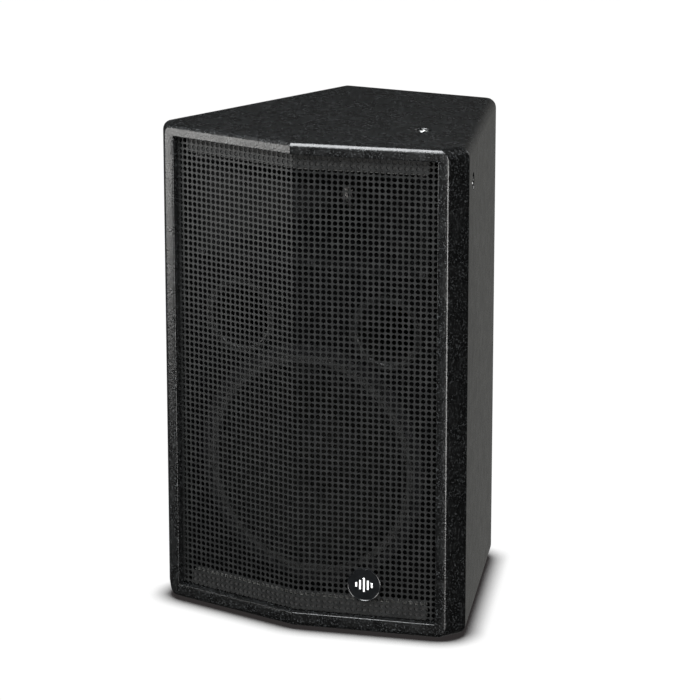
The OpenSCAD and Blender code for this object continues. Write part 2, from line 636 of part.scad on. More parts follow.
// A smooth curve through the route's points
function blend(p0, p1, p2, p3, t) = 0.5 * (2 * p1 + (p2 - p0) * t + (2 * p0 - 5 * p1 + 4 * p2 - p3) * t * t
  + (3 * p1 - p0 - 3 * p2 + p3) * t * t * t);
steps = 4;
function curve(route) = let (n = len(route)) concat([for (i = [0 : n - 2], s = [0 : steps - 1])
  blend(route[max(i - 1, 0)], route[i], route[i + 1], route[min(i + 2, n - 1)], s / steps)], [route[n - 1]]);
module wire(path) {
  n = len(path);
  points = [for (i = [0 : n - 1]) each ring_at(path, i)];
  sides = [for (i = [0 : n - 2], k = [0 : wire_sides - 1]) let (j = (k + 1) % wire_sides)
    [i * wire_sides + k, i * wire_sides + j, (i + 1) * wire_sides + j, (i + 1) * wire_sides + k]];
  first = [for (k = [wire_sides - 1 : -1 : 0]) k];
  last = [for (k = [0 : wire_sides - 1]) (n - 1) * wire_sides + k];
  polyhedron(points = points, faces = concat(sides, [first], [last]), convexity = 4);
}
module internal_wires() color("#8a1f1c") place() for (route = wire_routes) wire(curve(route));

// ---- damping ----
module wadding() color("#d9d4c4") place() {
  both_sides() slab(base_board + 4, brace_z - 8) polygon([
    [inner_x(200) - 2, 200], [inner_x(345) - 2, 345], [inner_x(345) - 20, 345], [inner_x(200) - 26, 200]
  ]);
  translate([-70, 240, inner_top - 24]) cube([140, 100, 22]);
}

// ---- fittings ----
module fly_point_inserts() color("#9a9c9d") at_fly_points() fly_insert();
module pole_screws_at() for (a = [45 : 90 : 315]) place() translate([0, pole_y, 3]) rotate([0, 0, a])
  translate([pole_screw_pcd / 2, 0, 0]) children();
module pole_socket() color("#1d1d1d") difference() {
  place() translate([0, pole_y, 0]) difference() {
    union() {
      cylinder(r = pole_flange_r, h = 3);
      cylinder(r = pole_bore / 2 + 3, h = pole_depth + 3);
    }
    translate([0, 0, -cut]) cylinder(d = pole_bore, h = pole_depth + cut);
  }
  pole_screws_at() translate([0, 0, -4]) cylinder(r = 2 + play, h = 8);
}
module pole_socket_screws() color("#1d1d1f") pole_screws_at() translate([0, 0, -2.6]) cylinder(r = 2, h = 16);
module feet_at() for (p = foot_places) place() translate([p[0], p[1], 0]) children();
module rubber_feet() color("#111111") feet_at() translate([0, 0, -foot_h]) difference() {
  cylinder(r1 = foot_r - 1, r2 = foot_r, h = foot_h);
  translate([0, 0, -cut]) cylinder(r = 5, h = cut + 2.4);
  cylinder(r = 2 + play, h = foot_h + cut);
}
module foot_screws() color("#8b8d8f") feet_at() {
  translate([0, 0, -foot_h + 2.4]) cylinder(r = 2, h = 14);
  translate([0, 0, -foot_h + 0.6]) cylinder(r = 4, h = 1.8);
}

top_panel();
bottom_panel();
left_side_panel();
right_side_panel();
left_front_post();
right_front_post();
back_panel();
baffle();
brace();
top_grille_cleat();
bottom_grille_cleat();
grille_foam();
grille();
grille_screws();
badge();
badge_emblem();
woofer_basket();
woofer_trim_ring();
woofer_surround();
woofer_cone();
woofer_dust_cap();
woofer_voice_coil();
woofer_spider();
woofer_top_plate();
woofer_magnet();
woofer_back_plate();
woofer_bolts();
woofer_terminals();
horn_flare();
horn_gasket();
horn_screws();
driver_front_plate();
driver_magnet();
driver_top_plate();
driver_phase_plug();
hf_diaphragm();
hf_suspension();
driver_clamp_ring();
driver_rear_cap();
driver_screws();
left_port_tube();
right_port_tube();
crossover_board();
crossover_standoffs();
crossover_inductors();
crossover_capacitors();
crossover_resistors();
input_plate();
input_plate_gasket();
input_plate_screws();
upper_speaker_socket();
lower_speaker_socket();
internal_wires();
wadding();
fly_point_inserts();
pole_socket();
pole_socket_screws();
rubber_feet();
foot_screws();
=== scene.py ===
"""Looks of the loudspeaker cabinet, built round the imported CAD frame. Metres throughout."""

import json
import math

import bmesh
import bpy
from mathutils import Matrix, Vector
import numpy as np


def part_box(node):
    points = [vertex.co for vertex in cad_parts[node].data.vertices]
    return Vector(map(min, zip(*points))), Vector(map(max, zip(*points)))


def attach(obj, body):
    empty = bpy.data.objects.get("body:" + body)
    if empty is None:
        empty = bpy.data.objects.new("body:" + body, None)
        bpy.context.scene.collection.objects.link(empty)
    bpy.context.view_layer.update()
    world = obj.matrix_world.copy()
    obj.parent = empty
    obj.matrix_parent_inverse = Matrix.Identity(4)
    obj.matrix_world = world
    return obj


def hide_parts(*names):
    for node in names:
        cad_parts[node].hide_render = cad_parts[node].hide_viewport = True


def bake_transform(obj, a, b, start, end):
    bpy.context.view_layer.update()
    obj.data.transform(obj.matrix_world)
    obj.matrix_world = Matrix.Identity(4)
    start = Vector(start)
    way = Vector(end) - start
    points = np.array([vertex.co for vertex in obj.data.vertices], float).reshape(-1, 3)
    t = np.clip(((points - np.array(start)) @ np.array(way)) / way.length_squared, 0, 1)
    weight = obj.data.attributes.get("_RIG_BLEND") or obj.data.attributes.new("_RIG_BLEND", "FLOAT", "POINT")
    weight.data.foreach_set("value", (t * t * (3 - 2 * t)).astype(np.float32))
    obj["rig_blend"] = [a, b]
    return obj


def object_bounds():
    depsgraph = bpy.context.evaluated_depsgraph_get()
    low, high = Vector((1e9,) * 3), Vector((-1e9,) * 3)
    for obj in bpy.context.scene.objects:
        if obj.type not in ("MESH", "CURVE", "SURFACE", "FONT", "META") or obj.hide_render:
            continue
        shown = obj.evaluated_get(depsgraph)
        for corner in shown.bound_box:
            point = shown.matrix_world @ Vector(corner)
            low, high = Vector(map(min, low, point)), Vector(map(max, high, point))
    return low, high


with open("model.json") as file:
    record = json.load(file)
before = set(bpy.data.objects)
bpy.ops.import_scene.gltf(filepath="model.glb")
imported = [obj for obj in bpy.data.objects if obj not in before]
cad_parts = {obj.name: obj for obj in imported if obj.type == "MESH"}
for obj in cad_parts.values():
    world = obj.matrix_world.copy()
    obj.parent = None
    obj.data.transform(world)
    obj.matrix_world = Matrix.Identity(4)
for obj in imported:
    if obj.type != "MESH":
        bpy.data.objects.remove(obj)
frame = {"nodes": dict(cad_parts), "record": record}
cad_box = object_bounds()

# ---------------------------------------------------------------------------
# Sizes: the plan's driving dimensions, and the rest from the frame. u runs along one half
# of the front from its fold, and depth goes straight in from the front's face.
# ---------------------------------------------------------------------------
FRONT_W = 0.388
BACK_W = 0.218
FACET_D = 0.026
FOLD = math.radians(11.1)
BOARD = 0.015
OPENING_U = 0.1843
GRILLE_U = 0.1837
GRILLE_RECESS = 0.010
SHEET_T = 0.0015
GRILLE_FLANGE = 0.011

LOW, HIGH = cad_box
RIDGE_Y = LOW.y
BACK_Y = HIGH.y
WIDE_X = HIGH.x
BASE_Z, BASE_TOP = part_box("bottom_panel")[0].z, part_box("left_side_panel")[0].z
TOP_UNDER, TOP_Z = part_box("left_side_panel")[1].z, HIGH.z

FRONT_Y = RIDGE_Y + FRONT_W / 2 * math.tan(FOLD)
WIDE_Y = FRONT_Y + FACET_D
SIDE_ANGLE = math.atan((WIDE_X - BACK_W / 2) / (BACK_Y - WIDE_Y))
BOARD_X = BOARD / math.cos(SIDE_ANGLE)
SLOPE = Vector((math.cos(FOLD), math.sin(FOLD)))
INWARD = Vector((-math.sin(FOLD), math.cos(FOLD)))
RIDGE = Vector((0, RIDGE_Y))
FRONT_CORNER = Vector((FRONT_W / 2, FRONT_Y))
WIDE_CORNER = Vector((WIDE_X, WIDE_Y))
BACK_CORNER = Vector((BACK_W / 2, BACK_Y))

# Corner radii of the plan, and the rounding of the panels' edges
RIDGE_R = 0.0015
FRONT_CORNER_R = 0.0035
WIDE_CORNER_R = 0.0030
BACK_CORNER_R = 0.014
LEAST_CORNER_R = 0.0012
EDGE_R = 0.006
SIDE_EDGE_R = 0.013
OPENING_EDGE_R = 0.0013
SUPPORT = 0.0004  # width of the narrow strip beside an edge that keeps its shading crisp
ARC_STEPS = 6


def on_front(u, depth=0.0):
    """A plan point u along the right half of the front, depth behind its face."""
    return RIDGE + SLOPE * u + INWARD * depth


def mirrored(p):
    return Vector((-p.x, p.y))


# ---------------------------------------------------------------------------
# Mesh helpers
# ---------------------------------------------------------------------------
def shade_smooth(mesh, sharp_angle):
    """Smooth shading, except over edges steeper than sharp_angle degrees."""
    mesh.polygons.foreach_set("use_smooth", [True] * len(mesh.polygons))
    mesh.set_sharp_from_angle(angle=math.radians(sharp_angle))


def linked_object(name, data):
    obj = bpy.data.objects.new(name, data)
    bpy.context.scene.collection.objects.link(obj)
    return obj


def new_object(name, bm, sharp_angle=35):
    """Turns bm into a smooth-shaded object whose steeper edges stay sharp."""
    bmesh.ops.recalc_face_normals(bm, faces=bm.faces)
    mesh = bpy.data.meshes.new(name)
    bm.to_mesh(mesh)
    bm.free()
    shade_smooth(mesh, sharp_angle)
    return linked_object(name, mesh)


def join_rings(bm, a, b):
    n = len(a)
    for i in range(n):
        bm.faces.new((a[i], a[(i + 1) % n], b[(i + 1) % n], b[i]))


def stack(bm, loops, closed=False):
    """Joins loops of equal length in order; caps the ends, or closes the last to the first."""
    rings = [[bm.verts.new(p) for p in loop] for loop in loops]
    for a, b in zip(rings, rings[1:]):
        join_rings(bm, a, b)
    if closed:
        join_rings(bm, rings[-1], rings[0])
    else:
        bm.faces.new(rings[0])
        bm.faces.new(list(reversed(rings[-1])))


def turned_loops(profile, centre, axis, segments):
    """One circle about an axis through centre for each (radius, along-axis) point."""
    axis = Vector(axis).normalized()
    across = axis.orthogonal().normalized()
    other = axis.cross(across)
    angles = [2 * math.pi * k / segments for k in range(segments)]
    return [[Vector(centre) + axis * h + (across * math.cos(t) + other * math.sin(t)) * r
             for t in angles] for r, h in profile]


def revolve(bm, profile, centre, axis, segments=96):
    """Turns a closed (radius, along-axis) profile about an axis through centre."""
    stack(bm, turned_loops(profile, centre, axis, segments), closed=True)


def turned_cutter(profile, centre, axis, segments=64):
    """A cutter turned from an open (radius, along-axis) profile, with flat ends."""
    bm = bmesh.new()
    stack(bm, turned_loops(profile, centre, axis, segments))
    return new_object("cutter", bm)


def apply_modifiers(obj):
    """Gives obj the mesh that its modifiers make, and removes them."""
    bpy.context.view_layer.update()
    evaluated = obj.evaluated_get(bpy.context.evaluated_depsgraph_get())
    mesh = bpy.data.meshes.new_from_object(evaluated)
    obj.modifiers.clear()
    obj.data = mesh


def cut(obj, cutters):
    """Subtracts each cutter object from obj, then removes the cutters."""
    for cutter in cutters:
        modifier = obj.modifiers.new("cut", "BOOLEAN")
        modifier.operation = "DIFFERENCE"
        modifier.solver = "EXACT"
        modifier.object = cutter
    apply_modifiers(obj)
    shade_smooth(obj.data, 30)
    for cutter in cutters:
        bpy.data.objects.remove(cutter)
    return obj


# ---------------------------------------------------------------------------
# Plan outlines
# ---------------------------------------------------------------------------
def arc(before, corner, after, radius, steps=ARC_STEPS):
    """The points of a fillet of that radius at a corner."""
    u = (before - corner).normalized()
    v = (after - corner).normalized()
    half = math.acos(max(-1, min(1, u.dot(v)))) / 2
    reach = radius / math.tan(half)
    centre = corner + (u + v).normalized() * radius / math.sin(half)
    a, b = corner + u * reach - centre, corner + v * reach - centre
    turn = math.atan2(a.x * b.y - a.y * b.x, a.dot(b))
    out = []
    for k in range(steps + 1):
        t = turn * k / steps
        out.append(centre + Vector((a.x * math.cos(t) - a.y * math.sin(t),
                                    a.x * math.sin(t) + a.y * math.cos(t))))
    return out


def inset_corners(corners, insets):
    """The corners of a convex outline whose sides have moved inwards, each by its own inset."""
    n = len(corners)
    lines = []
    for i in range(n):
        p, q = corners[i], corners[(i + 1) % n]
        d = (q - p).normalized()
        lines.append((p + Vector((-d.y, d.x)) * insets[i], d))
    out = []
    for i in range(n):
        (p, d), (q, e) = lines[i - 1], lines[i]
        t = ((q - p).x * e.y - (q - p).y * e.x) / (d.x * e.y - d.y * e.x)
        out.append(p + d * t)
    return out


def cabinet_outline(front_inset, side_inset, front_pull=0.0):
    """The cabinet's plan with its front and its other sides moved inwards, anticlockwise from
    the left opening edge. front_pull moves only the stretch between the opening's edges."""
    right = [FRONT_CORNER, WIDE_CORNER, BACK_CORNER]
    radii = [FRONT_CORNER_R, WIDE_CORNER_R, BACK_CORNER_R]
    corners = [RIDGE] + right + [mirrored(p) for p in reversed(right)]
    corner_r = [RIDGE_R] + radii + radii[::-1]
    n = len(corners)
    moved = inset_corners(corners, [front_inset] + [side_inset] * (n - 2) + [front_inset])
    arcs = [arc(moved[i - 1], moved[i], moved[(i + 1) % n], max(r - side_inset, LEAST_CORNER_R))
            for i, r in enumerate(corner_r)]
    pull = Vector((0, 1)) * (front_pull / math.cos(FOLD))
    edge_out = on_front(OPENING_U, front_inset)
    edge_in = on_front(OPENING_U - SUPPORT, front_inset) + pull
    front = [mirrored(edge_out), mirrored(edge_in)] + [p + pull for p in arcs[0]] + [edge_in, edge_out]
    return front + [p for a in arcs[1:] for p in a]


def at_height(outline, z):
    return [Vector((p.x, p.y, z)) for p in outline]


def quarter(steps=ARC_STEPS):
    return [math.pi / 2 * k / steps for k in range(steps + 1)]


def round_inset(r, depth):
    """How far a rounded edge stands back at a depth below its outer face."""
    return 0 if depth >= r else r - math.sqrt(r * r - (r - depth) ** 2)


def panel_solid(name, outer_z, inner_z):
    """A top or bottom panel: rounded over outside, with a softened edge along the opening."""
    out = 1 if outer_z > inner_z else -1
    bm = bmesh.new()
    loops = []
    for a in quarter(3):
        pull = OPENING_EDGE_R * (1 - math.sin(a))
        loops.append(at_height(cabinet_outline(0, 0, pull),
                               inner_z + out * OPENING_EDGE_R * (1 - math.cos(a))))
    depths = {r * (1 - math.sin(a)) for r in (EDGE_R, SIDE_EDGE_R) for a in quarter(8)}
    for depth in sorted(depths, reverse=True):
        loops.append(at_height(cabinet_outline(round_inset(EDGE_R, depth),
                                               round_inset(SIDE_EDGE_R, depth)), outer_z - out * depth))
    loops.append(at_height(cabinet_outline(EDGE_R + SUPPORT, SIDE_EDGE_R + SUPPORT), outer_z))
    stack(bm, loops)
    return new_object(name, bm, 40)


def post_section():
    """The right front post's plan, from the opening's edge round to its inner face."""
    before_seam, seam, _ = wide_arc_split()
    edge = on_front(OPENING_U)
    lip = arc(on_front(OPENING_U, 0.02), edge, FRONT_CORNER, OPENING_EDGE_R, 3)
    corner = arc(edge, FRONT_CORNER, WIDE_CORNER, FRONT_CORNER_R)
    inner = WIDE_CORNER - Vector((BOARD_X, 0))
    baffle_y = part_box("baffle")[0].y
    at_baffle = Vector((inner.x - (baffle_y - WIDE_Y) * math.tan(SIDE_ANGLE), baffle_y))
    back = on_front(OPENING_U, GRILLE_RECESS + GRILLE_FLANGE + 0.002)
    return lip + corner + before_seam + [seam, inner, at_baffle, Vector((back.x, baffle_y)), back]


def wide_arc_split():
    """The wide corner's arc, split where the post meets the side panel."""
    points = arc(FRONT_CORNER, WIDE_CORNER, BACK_CORNER, WIDE_CORNER_R)
    before = [p for p in points if p.y < WIDE_Y]
    after = [p for p in points if p.y >= WIDE_Y]
    p, q = before[-1], after[0]
    seam = p + (q - p) * ((WIDE_Y - p.y) / (q.y - p.y))
    return before, seam, after


def side_section():
    """The right side panel's plan."""
    _, seam, after = wide_arc_split()
    back = arc(WIDE_CORNER, BACK_CORNER, mirrored(BACK_CORNER), BACK_CORNER_R)
    return [seam] + after + back + [Vector((BACK_CORNER.x - BOARD_X, BACK_Y)),
                                    WIDE_CORNER - Vector((BOARD_X, 0))]


def extruded(name, section, z0, z1, side):
    points = section if side > 0 else [mirrored(p) for p in section]
    bm = bmesh.new()
    stack(bm, [at_height(points, z0), at_height(points, z1)])
    return new_object(name, bm, 30)


# ---------------------------------------------------------------------------
# Fixing points
# ---------------------------------------------------------------------------
FLY_R = 0.0106
FLY_DEPTH = 0.0055
FLY_BARREL_R = 0.006
FLY_CHAMFER = 0.0007
TOP_FLY = Vector((0.114, RIDGE_Y + 0.140, TOP_Z))
BOTTOM_FLY = Vector((-0.080, RIDGE_Y + 0.270, BASE_Z))
SIDE_DIR = Vector((-math.sin(SIDE_ANGLE), math.cos(SIDE_ANGLE), 0))
SIDE_OUT = Vector((math.cos(SIDE_ANGLE), math.sin(SIDE_ANGLE), 0))
SIDE_FLY = Vector((WIDE_X, WIDE_Y, TOP_Z - 0.050)) + SIDE_DIR * 0.045
BACK_FLY = Vector((0, BACK_Y, TOP_Z - 0.090))
CUT_DEPTH = 0.022  # deeper than a board is thick
FLY_POINTS = [(TOP_FLY, Vector((0, 0, 1))), (BOTTOM_FLY, Vector((0, 0, -1))),
              (SIDE_FLY, SIDE_OUT),
              (Vector((-SIDE_FLY.x, SIDE_FLY.y, SIDE_FLY.z)), Vector((-SIDE_OUT.x, SIDE_OUT.y, 0))),
              (BACK_FLY, Vector((0, 1, 0)))]


def fly_cutter(place, out):
    profile = [(FLY_R + FLY_CHAMFER * 2, FLY_CHAMFER), (FLY_R, -FLY_CHAMFER), (FLY_R, -FLY_DEPTH),
               (FLY_BARREL_R, -FLY_DEPTH), (FLY_BARREL_R, -CUT_DEPTH)]
    return turned_cutter(profile, place, out)


def fly_inserts():
    """Zinc flange nuts, each with a raised collar round its threaded bore."""
    bore, collar, flange_r, barrel_r = 0.0034, 0.0058, FLY_R - 0.0001, FLY_BARREL_R - 0.0001
    top, flange, end = -0.0008, -0.0030, -0.0150
    soft = 0.0004
    profile = [(bore, end), (bore, top - 0.0006), (bore + 0.0006, top), (collar - soft, top),
               (collar, top - soft), (collar, flange + soft), (collar + 0.001, flange),
               (flange_r - soft, flange), (flange_r, flange - soft), (flange_r, -FLY_DEPTH),
               (barrel_r, -FLY_DEPTH), (barrel_r, end)]
    bm = bmesh.new()
    for place, out in FLY_POINTS:
        revolve(bm, profile, place, out, 48)
    return new_object("fixing_point_inserts", bm)


# ---------------------------------------------------------------------------
# Grille
# ---------------------------------------------------------------------------
PITCH_U = 0.00744
PITCH_Z = 0.00727
HOLE_R = 0.00308
HOLE_SIDES = 10
COLUMNS = 24
ROWS = 81
FIRST_ROW = BASE_Z + 0.01865


def sheet_point(u, z, depth):
    """A point of the sheet. Its fold, u = 0, is on the middle line at every depth."""
    p = on_front(u + math.tan(FOLD) * depth, depth)
    return Vector((p.x, p.y, z))


def sheet_vert(bm, cache, u, z, layer):
    """The one vertex at u and z, in the sheet's front (0) or back (1) face."""
    key = (round(u * 1e6), round(z * 1e6), layer)
    if key not in cache:
        cache[key] = bm.verts.new(sheet_point(max(u, 0), z, GRILLE_RECESS + SHEET_T * layer))
    return cache[key]


def cell(bm, cache, u, z, half):
    """One cell of the sheet with its hole. The fold's cells are halves that start at u = 0."""
    du, dz = PITCH_U / 2, PITCH_Z / 2
    left = 0 if half else u - du
    corners = [(left, z - dz), (u + du, z - dz), (u + du, z + dz), (left, z + dz)]
    count = HOLE_SIDES // 2 + 1 if half else HOLE_SIDES
    hole = [(u + HOLE_R * math.cos(t), z + HOLE_R * math.sin(t))
            for t in (-math.pi / 2 + 2 * math.pi * k / HOLE_SIDES for k in range(count))]
    for layer in (0, 1):
        h = [sheet_vert(bm, cache, *p, layer) for p in hole]
        c = [sheet_vert(bm, cache, *p, layer) for p in corners]
        right_side = [(c[1], h[2], h[1]), (c[1], c[2], h[3], h[2]), (c[2], h[4], h[3])]
        if half:
            faces = [(c[0], c[1], h[1], h[0])] + right_side + [(c[2], c[3], h[5], h[4])]
        else:
            left_side = [(c[3], h[7], h[6]), (c[3], c[0], h[8], h[7]), (c[0], h[9], h[8])]
            faces = ([(c[0], c[1], h[1], h[0], h[9])] + right_side
                     + [(c[2], c[3], h[6], h[5], h[4])] + left_side)
        for face in faces:
            bm.faces.new(face)
    for k in range(count - 1 if half else count):
        a, b = hole[k], hole[(k + 1) % count]
        bm.faces.new([sheet_vert(bm, cache, *p, layer) for p, layer in ((a, 0), (b, 0), (b, 1), (a, 1))])


def grille_sheet():
    """The folded, perforated sheet with its two side flanges: one half, then its mirror image."""
    bm = bmesh.new()
    cache = {}
    for row in range(ROWS):
        for column in range(COLUMNS + 1):
            cell(bm, cache, column * PITCH_U, FIRST_ROW + row * PITCH_Z, column == 0)
    margin_u = (COLUMNS + 0.5) * PITCH_U
    inner_u = GRILLE_U - SHEET_T
    flange_end = GRILLE_RECESS + GRILLE_FLANGE
    bends = [on_front(GRILLE_U, GRILLE_RECESS), on_front(GRILLE_U, flange_end),
             on_front(inner_u, flange_end), on_front(inner_u, GRILLE_RECESS + SHEET_T)]
    previous = None
    for row in range(ROWS + 1):
        z = FIRST_ROW + (row - 0.5) * PITCH_Z
        strip = [sheet_vert(bm, cache, margin_u, z, 0)]
        strip += [bm.verts.new((p.x, p.y, z)) for p in bends]
        strip.append(sheet_vert(bm, cache, margin_u, z, 1))
        if previous:
            for k in range(len(strip) - 1):
                bm.faces.new((previous[k], previous[k + 1], strip[k + 1], strip[k]))
        previous = strip
    bmesh.ops.mirror(bm, geom=bm.verts[:] + bm.edges[:] + bm.faces[:],
                     matrix=Matrix.Identity(4), axis="X", merge_dist=1e-7)
    bmesh.ops.remove_doubles(bm, verts=[v for v in bm.verts if abs(v.co.x) < 1e-6], dist=1e-6)
    low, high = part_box("grille")
    for z, up in ((low.z, -1), (high.z, 1)):
        bmesh.ops.bisect_plane(bm, geom=bm.verts[:] + bm.edges[:] + bm.faces[:], dist=1e-7,
                               plane_co=(0, 0, z), plane_no=(0, 0, up), clear_outer=True)
    open_edges = [e for e in bm.edges if len(e.link_faces) == 1]
    bmesh.ops.holes_fill(bm, edges=open_edges, sides=0)
    return new_object("grille_sheet", bm, 30)


# ---------------------------------------------------------------------------
# Badge, with a plain emblem of five level bars
# ---------------------------------------------------------------------------
BADGE_U, BADGE_Z, BADGE_R, BADGE_T = 0.0915, 0.0595, 0.0215, 0.0025
BADGE_CENTRE = on_front(BADGE_U, GRILLE_RECESS)
BADGE_OUT = Vector((-INWARD.x, -INWARD.y, 0))
BADGE_ACROSS = Vector((SLOPE.x, SLOPE.y, 0))


def badge_place(across, up, out):
    """A point on or above the badge, from the middle of its back."""
    centre = Vector((BADGE_CENTRE.x, BADGE_CENTRE.y, BASE_Z + BADGE_Z))
    return centre + BADGE_ACROSS * across + Vector((0, 0, up)) + BADGE_OUT * out


def badge_disc():
    """A dished disc with a raised rim. Its core is a pinhole that the bars cover."""
    rim, core = 0.0015, 0.0002
    profile = [(core, 0), (BADGE_R - 0.0004, 0), (BADGE_R, 0.0004), (BADGE_R, BADGE_T - 0.0006),
               (BADGE_R - 0.0003, BADGE_T - 0.0001), (BADGE_R - 0.0007, BADGE_T),
               (BADGE_R - rim + 0.0003, BADGE_T - 0.0002), (BADGE_R - rim, BADGE_T - 0.0006),
               (BADGE_R * 0.6, BADGE_T - 0.00052), (core, BADGE_T - 0.0005)]
    bm = bmesh.new()
    revolve(bm, profile, badge_place(0, 0, 0), BADGE_OUT, 96)
    return new_object("round_badge", bm)


def badge_bars():
    """Five upright bars with softened edges."""
    heights = [0.006, 0.012, 0.018, 0.012, 0.006]
    width, base, top, soft = 0.0024, BADGE_T - 0.0007, BADGE_T - 0.0001, 0.0002
    bm = bmesh.new()
    for i, height in enumerate(heights):
        middle = (i - 2) * 0.005
        loops = []
        for inset, out in ((0, base), (0, top - soft), (soft, top)):
            w, h = width / 2 - inset, height / 2 - inset
            loops.append([badge_place(middle + x * w, z * h, out)
                          for x, z in ((-1, -1), (1, -1), (1, 1), (-1, 1))])
        stack(bm, loops)
    return new_object("badge_level_bars", bm)


# ---------------------------------------------------------------------------
# Horn
# ---------------------------------------------------------------------------
HORN_LOW, HORN_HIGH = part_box("horn_flare")
HORN_Z = (HORN_LOW.z + HORN_HIGH.z) / 2
HORN_FACE = HORN_LOW.y
THROAT_Y = HORN_HIGH.y
MOUTH_W, MOUTH_H, THROAT_R = 0.297, 0.109, 0.0127
HORN_WALL = 0.003
MOUTH_CORNER_R = 0.010
HORN_FLANGE_W, HORN_FLANGE_H, HORN_FLANGE_R, HORN_FLANGE_T = 0.322, 0.136, 0.014, 0.004
HORN_SOFT = 0.0005
THROAT_PLATE_R, THROAT_PLATE_T = 0.046, 0.007
CORNER_POINTS = 16


def rounded_rectangle(w, h, r, y):
    """A loop at depth y made of four corner arcs: a circle where r is half of w and of h."""
    points = []
    for quadrant, (right, up) in enumerate(((1, 1), (-1, 1), (-1, -1), (1, -1))):
        for k in range(CORNER_POINTS):
            t = math.pi / 2 * (quadrant + (k + 0.5) / CORNER_POINTS)
            points.append(Vector((right * (w / 2 - r) + r * math.cos(t), y,
                                  HORN_Z + up * (h / 2 - r) + r * math.sin(t))))
    return points


def flare_loop(t, grow):
    """A cross section of the flare: t is 0 at the mouth and 1 at the throat."""
    y = HORN_FACE + (THROAT_Y - HORN_FACE) * t
    bend = (1 - t) ** 1.25
    w = 2 * THROAT_R + (MOUTH_W - 2 * THROAT_R) * bend
    h = 2 * THROAT_R + (MOUTH_H - 2 * THROAT_R) * bend ** 0.9
    r = MOUTH_CORNER_R + (THROAT_R - MOUTH_CORNER_R) * t
    return rounded_rectangle(w + 2 * grow, h + 2 * grow, r + grow, y)


def flange_loop(depth, inset=0.0):
    return rounded_rectangle(HORN_FLANGE_W - 2 * inset, HORN_FLANGE_H - 2 * inset, HORN_FLANGE_R,
                             HORN_FACE + depth)


def throat_loop(depth):
    return rounded_rectangle(2 * THROAT_PLATE_R, 2 * THROAT_PLATE_R, THROAT_PLATE_R, THROAT_Y - depth)


def horn():
    """The flare's inside, the plate at its throat, its outside, and the flange round its mouth."""
    steps = 24
    length = THROAT_Y - HORN_FACE
    plate_t, flange_t = 1 - THROAT_PLATE_T / length, HORN_FLANGE_T / length
    loops = [flare_loop(k / steps, 0) for k in range(steps + 1)]
    loops += [throat_loop(0), throat_loop(THROAT_PLATE_T)]
    loops += [flare_loop(plate_t + (flange_t - plate_t) * k / steps, HORN_WALL) for k in range(steps + 1)]
    loops += [flange_loop(HORN_FLANGE_T), flange_loop(HORN_SOFT), flange_loop(0, HORN_SOFT)]
    bm = bmesh.new()
    stack(bm, loops, closed=True)
    return new_object("horn", bm, 35)


# ---------------------------------------------------------------------------
# Woofer's soft parts
# ---------------------------------------------------------------------------
CONE_LOW, CONE_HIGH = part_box("woofer_cone")
WOOFER_Z = (CONE_LOW.z + CONE_HIGH.z) / 2
FLANGE_Y = CONE_LOW.y
CONE_OUT_R = CONE_HIGH.x
CONE_NECK_R = 0.033
SURROUND_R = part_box("woofer_surround")[1].x
SPIDER_NECK_R = 0.0328
SURROUND_GLUE = 0.004  # how far the surround overlaps the cone and the frame
WOOFER_CENTRE = Vector((0, FLANGE_Y, WOOFER_Z))


def turned_sheet(name, front, thickness, centre, segments, sharp_angle):
    """A thin part turned from its front profile about the depth axis through centre."""
    back = [(r, h + thickness) for r, h in reversed(front)]
    bm = bmesh.new()
    revolve(bm, front + back, centre, (0, 1, 0), segments)
    return new_object(name, bm, sharp_angle)


def cone():
    """The paper cone, slightly bellied, with three pressed ribs."""
    thickness, steps = 0.0013, 48
    belly_depth, rib_height, rib_width, face = 0.0018, 0.0007, 0.025, 0.0002
    depth = CONE_HIGH.y - CONE_LOW.y - thickness
    front = []
    for k in range(steps + 1):
        t = k / steps
        r = CONE_OUT_R + (CONE_NECK_R - CONE_OUT_R) * t
        belly = -belly_depth * math.sin(math.pi * t)
        rib = sum(rib_height * math.exp(-((t - at) / rib_width) ** 2) for at in (0.22, 0.42, 0.62))
        front.append((r, max(0.0, depth * t + belly - rib + face)))
    return turned_sheet("cone", front, thickness, WOOFER_CENTRE, 128, 50)


def surround():
    """A double roll of doped cloth between the cone and the frame."""
    outer, inner, thickness = SURROUND_R, CONE_OUT_R - SURROUND_GLUE, 0.0007
    steps, roll_height, seat = 40, 0.0065, -0.0012
    front = []
    for k in range(steps + 1):
        t = k / steps
        r = outer + (inner - outer) * t
        across = (t - 0.2) / 0.6
        roll = roll_height * abs(math.sin(2 * math.pi * across)) ** 0.8 if 0 < across < 1 else 0
        front.append((r, seat - roll))
    return turned_sheet("surround", front, thickness, WOOFER_CENTRE, 128, 50)


def spider():
    """The corrugated suspension behind the cone."""
    low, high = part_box("woofer_spider")
    outer, thickness, waves, wave_height, steps = high.x, 0.0006, 6, 0.0015, 96
    middle = (high.y + low.y) / 2 - FLANGE_Y
    front = []
    for k in range(steps + 1):
        t = k / steps
        r = outer + (SPIDER_NECK_R - outer) * t
        edge = min(1, t / 0.1, (1 - t) / 0.1)
        front.append((r, middle + wave_height * edge * math.sin(2 * math.pi * waves * t)))
    return turned_sheet("spider", front, thickness, WOOFER_CENTRE, 96, 60)


def tweeter_suspension():
    """The thin ring between the diaphragm and its clamp."""
    low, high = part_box("hf_suspension")
    outer, inner, steps = high.x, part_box("hf_diaphragm")[1].x + 0.00005, 16
    front = [(outer + (inner - outer) * k / steps, 0.0) for k in range(steps + 1)]
    return turned_sheet("tweeter_suspension", front, high.y - low.y, (0, low.y, (low.z + high.z) / 2), 96, 60)


